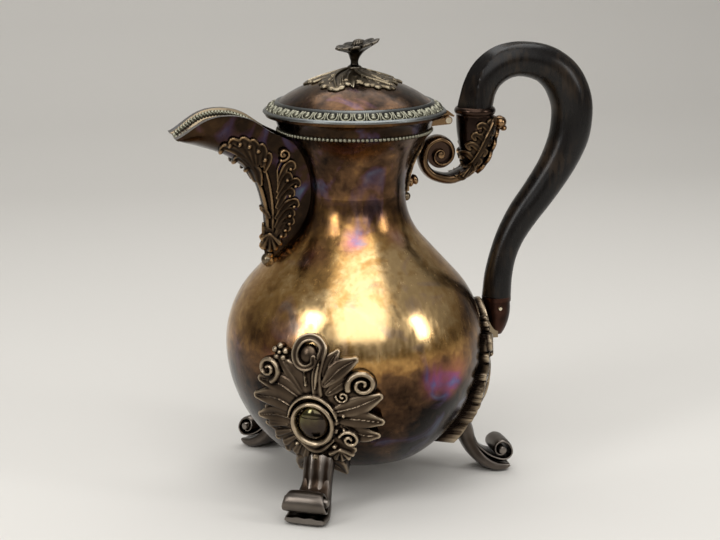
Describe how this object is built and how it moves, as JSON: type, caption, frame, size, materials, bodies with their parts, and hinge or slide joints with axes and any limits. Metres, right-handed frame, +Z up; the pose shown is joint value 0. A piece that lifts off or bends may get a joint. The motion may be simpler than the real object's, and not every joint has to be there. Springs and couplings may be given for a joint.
{
  "type": "coffee pot",
  "caption": "Pear-shaped silver coffee pot on three scroll feet with foliate cartouches, a leaf-wrapped spout, an ebonised S-curved wooden handle and a hinged domed lid.",
  "frame": {"origin": "point on the table plane under the middle of the pot's length from spout to handle, on its mirror plane", "axes": "+Z up along the pot's axis, +X towards the handle, -X towards the spout"},
  "size_m": [0.2287, 0.1642, 0.2396],
  "materials": {
    "raised_silver": "tarnished polished silver with a warm golden sheen",
    "spout_silver": "darker tarnished silver",
    "cast_ornament": "cast silver, dark in the hollows and bright on the worn edges",
    "worn_border": "pale worn cast silver",
    "silver_wire": "drawn silver wire",
    "inner_silver": "dull silver inside the pot",
    "ebonised_wood": "glossy ebonised hardwood",
    "copper_bronze": "dark red-brown tarnish",
    "polished_cabochon": "polished dark silver"
  },
  "bodies": {
    "pot": {"pot_body": "raised_silver", "strainer_plate": "inner_silver", "neck_collar": "raised_silver", "neck_beading": "worn_border", "hinge_bracket": "cast_ornament", "hinge_pin": "silver_wire", "spout": "spout_silver", "spout_border_left": "worn_border", "spout_border_right": "worn_border", "spout_leaf_left": "cast_ornament", "spout_leaf_right": "cast_ornament", "spout_drop": "cast_ornament", "handle_socket": "cast_ornament", "handle_ferrule": "cast_ornament", "handle_pin_upper": "silver_wire", "handle_neck_mount": "cast_ornament", "handle_neck_bead": "cast_ornament", "handle_scroll": "cast_ornament", "handle_leaf": "cast_ornament", "foot_leg_right": "cast_ornament", "foot_cartouche_right": "cast_ornament", "foot_cabochon_right": "polished_cabochon", "foot_leg_rear": "cast_ornament", "foot_cartouche_rear": "cast_ornament", "foot_cabochon_rear": "polished_cabochon", "foot_leg_front": "cast_ornament", "foot_cartouche_front": "cast_ornament", "foot_cabochon_front": "polished_cabochon", "handle_low_socket": "copper_bronze", "handle_pin_lower": "silver_wire", "handle_low_lug": "cast_ornament", "handle": "ebonised_wood"},
    "lid": {"lid_dome": "raised_silver", "lid_border": "worn_border", "lid_bezel": "raised_silver", "lid_rosette": "cast_ornament", "finial_stem": "cast_ornament", "finial_flower": "cast_ornament", "finial_nut": "silver_wire", "lid_hinge_leaf": "cast_ornament"}
  },
  "joints": [
    {"name": "lid_hinge", "type": "hinge", "parent": "pot", "child": "lid", "pos_m": [0.03198, 0, 0.1962], "axis": [0, 1, 0], "range_deg": [0, 52]}
  ]
}
